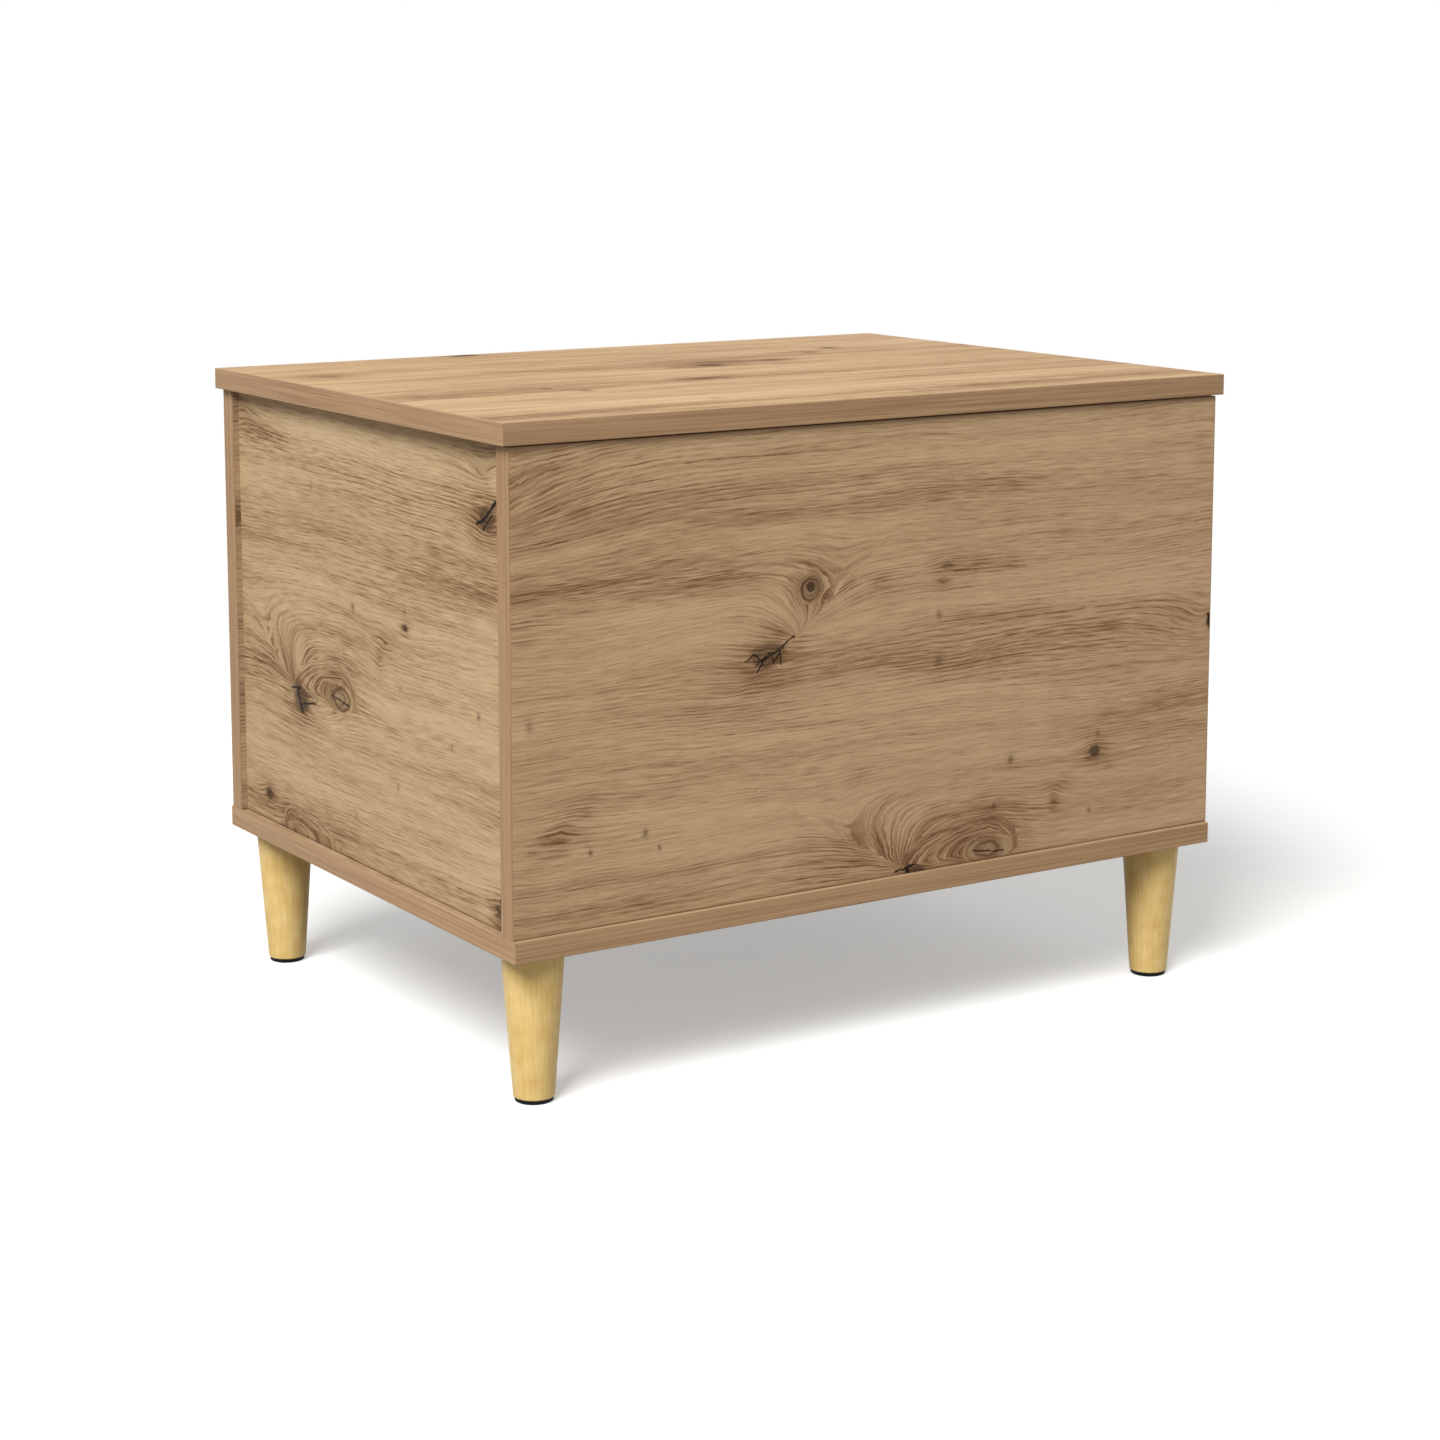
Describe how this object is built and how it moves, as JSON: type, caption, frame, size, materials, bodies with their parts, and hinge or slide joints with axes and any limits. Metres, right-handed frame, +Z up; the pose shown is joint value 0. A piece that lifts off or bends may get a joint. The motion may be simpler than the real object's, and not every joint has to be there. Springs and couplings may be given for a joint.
{
  "type": "nightstand",
  "caption": "Closed oak-decor storage box on tapered round legs, with a lid that lifts on butt hinges along the back edge and a slotted stay that stops it when open.",
  "frame": {"origin": "on the floor, under the middle of the lid", "axes": "+Z up, +X to the right along the wide front, +Y from the front to the hinged back edge"},
  "size_m": [0.6, 0.445, 0.453],
  "materials": {
    "oak_decor_board": "satin printed oak decor with knots",
    "oak_edge_band": "satin straight-grained edge band",
    "turned_leg": "satin lacquered pale solid wood",
    "beech_dowel": "raw fluted beech",
    "black_glide": "moulded",
    "clear_bumper": "soft translucent",
    "zinc_steel": "bright zinc plate",
    "cast_zinc": "as cast",
    "nickel_steel": "nickel plate"
  },
  "bodies": {
    "case": {"base_panel": "oak_decor_board", "base_edge_bands": "oak_edge_band", "front_panel": "oak_decor_board", "front_edge_bands": "oak_edge_band", "back_panel": "oak_decor_board", "back_edge_bands": "oak_edge_band", "left_panel": "oak_decor_board", "left_edge_band": "oak_edge_band", "right_panel": "oak_decor_board", "right_edge_band": "oak_edge_band", "front_left_leg": "turned_leg", "front_right_leg": "turned_leg", "back_left_leg": "turned_leg", "back_right_leg": "turned_leg", "front_left_glide": "black_glide", "front_right_glide": "black_glide", "back_left_glide": "black_glide", "back_right_glide": "black_glide", "glide_nails": "zinc_steel", "leg_bolts": "zinc_steel", "leg_inserts": "zinc_steel", "cam_locks": "cast_zinc", "cam_bolts": "zinc_steel", "corner_dowels": "beech_dowel", "base_dowels": "beech_dowel", "base_screws": "zinc_steel", "lid_bumpers": "clear_bumper", "left_hinge_case_leaf": "nickel_steel", "right_hinge_case_leaf": "nickel_steel", "left_hinge_pin": "nickel_steel", "right_hinge_pin": "nickel_steel", "hinge_case_screws": "nickel_steel", "stay_guide_plate": "nickel_steel", "stay_guide_pin": "nickel_steel", "stay_guide_screws": "nickel_steel"},
    "lid": {"lid_panel": "oak_decor_board", "lid_edge_bands": "oak_edge_band", "left_hinge_lid_leaf": "nickel_steel", "right_hinge_lid_leaf": "nickel_steel", "hinge_lid_screws": "nickel_steel", "stay_lid_bracket": "nickel_steel", "stay_lid_screws": "nickel_steel", "stay_pivot_rivet": "nickel_steel"},
    "stay": {"stay_arm": "nickel_steel"}
  },
  "joints": [
    {"name": "lid_hinge", "type": "hinge", "parent": "case", "child": "lid", "pos_m": [0, 0.2198, 0.4375], "axis": [-1, 0, 0], "range_deg": [0, 95]},
    {"name": "stay_swing", "type": "hinge", "parent": "lid", "child": "stay", "pos_m": [0.2712, 0.0798, 0.427], "axis": [1, 0, 0], "range_deg": [0, 47.5]}
  ],
  "couplings": [
    {"joint": "stay_swing", "follows": "lid_hinge", "ratio": 0.5}
  ]
}
